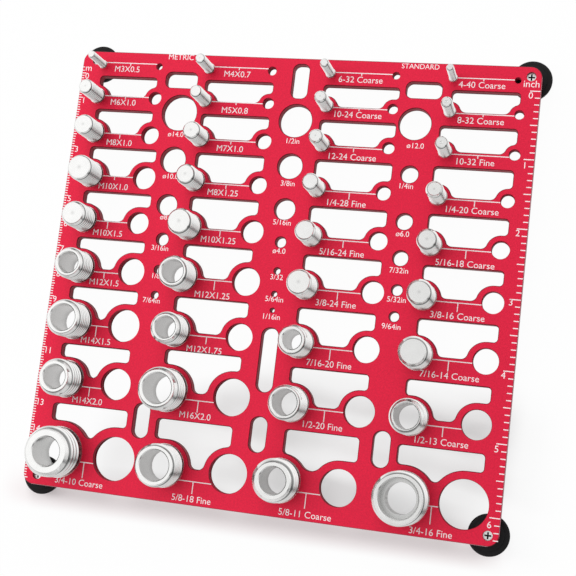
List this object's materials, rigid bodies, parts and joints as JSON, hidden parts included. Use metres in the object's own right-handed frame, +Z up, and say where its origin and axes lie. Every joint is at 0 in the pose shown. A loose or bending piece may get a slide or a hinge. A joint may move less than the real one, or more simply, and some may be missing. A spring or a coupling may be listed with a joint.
{
  "type": "nut and bolt thread checker",
  "caption": "Flat anodised plate with threaded studs, matching tapped holes, plain gauge holes, lightening cut-outs and edge rulers, standing on rubber corner feet.",
  "frame": {"origin": "middle of the part's footprint, on the soles of its feet", "axes": "+X to the right along the rows of studs, +Y towards the row of the smallest threads, +Z up out of the plate's engraved face, the way the studs point"},
  "size_m": [0.185, 0.1788, 0.0202],
  "materials": {
    "anodised_plate": "red anodised aluminium, satin, with pale engraving",
    "plated_steel": "bright zinc plate over turned steel",
    "foot_rubber": "matt black rubber",
    "fixing_steel": "nickel plate"
  },
  "bodies": {
    "root": {"gauge_plate": "anodised_plate", "stud_3_4_in_10": "plated_steel", "stud_5_8_in_18": "plated_steel", "stud_5_8_in_11": "plated_steel", "stud_3_4_in_16": "plated_steel", "stud_m14x2_0": "plated_steel", "stud_m16x2_0": "plated_steel", "stud_1_2_in_20": "plated_steel", "stud_1_2_in_13": "plated_steel", "stud_m14x1_5": "plated_steel", "stud_m12x1_75": "plated_steel", "stud_7_16_in_20": "plated_steel", "stud_7_16_in_14": "plated_steel", "stud_m12x1_5": "plated_steel", "stud_m12x1_25": "plated_steel", "stud_3_8_in_24": "plated_steel", "stud_3_8_in_16": "plated_steel", "stud_m10x1_5": "plated_steel", "stud_m10x1_25": "plated_steel", "stud_5_16_in_24": "plated_steel", "stud_5_16_in_18": "plated_steel", "stud_m10x1_0": "plated_steel", "stud_m8x1_25": "plated_steel", "stud_1_4_in_28": "plated_steel", "stud_1_4_in_20": "plated_steel", "stud_m8x1_0": "plated_steel", "stud_m7x1_0": "plated_steel", "stud_no12_24": "plated_steel", "stud_no10_32": "plated_steel", "stud_m6x1_0": "plated_steel", "stud_m5x0_8": "plated_steel", "stud_no10_24": "plated_steel", "stud_no8_32": "plated_steel", "stud_m3x0_5": "plated_steel", "stud_m4x0_7": "plated_steel", "stud_no6_32": "plated_steel", "stud_no4_40": "plated_steel", "foot_front_left": "foot_rubber", "foot_screw_front_left": "fixing_steel", "foot_nut_front_left": "fixing_steel", "foot_front_right": "foot_rubber", "foot_screw_front_right": "fixing_steel", "foot_nut_front_right": "fixing_steel", "foot_back_left": "foot_rubber", "foot_screw_back_left": "fixing_steel", "foot_nut_back_left": "fixing_steel", "foot_back_right": "foot_rubber", "foot_screw_back_right": "fixing_steel", "foot_nut_back_right": "fixing_steel"}
  },
  "joints": []
}
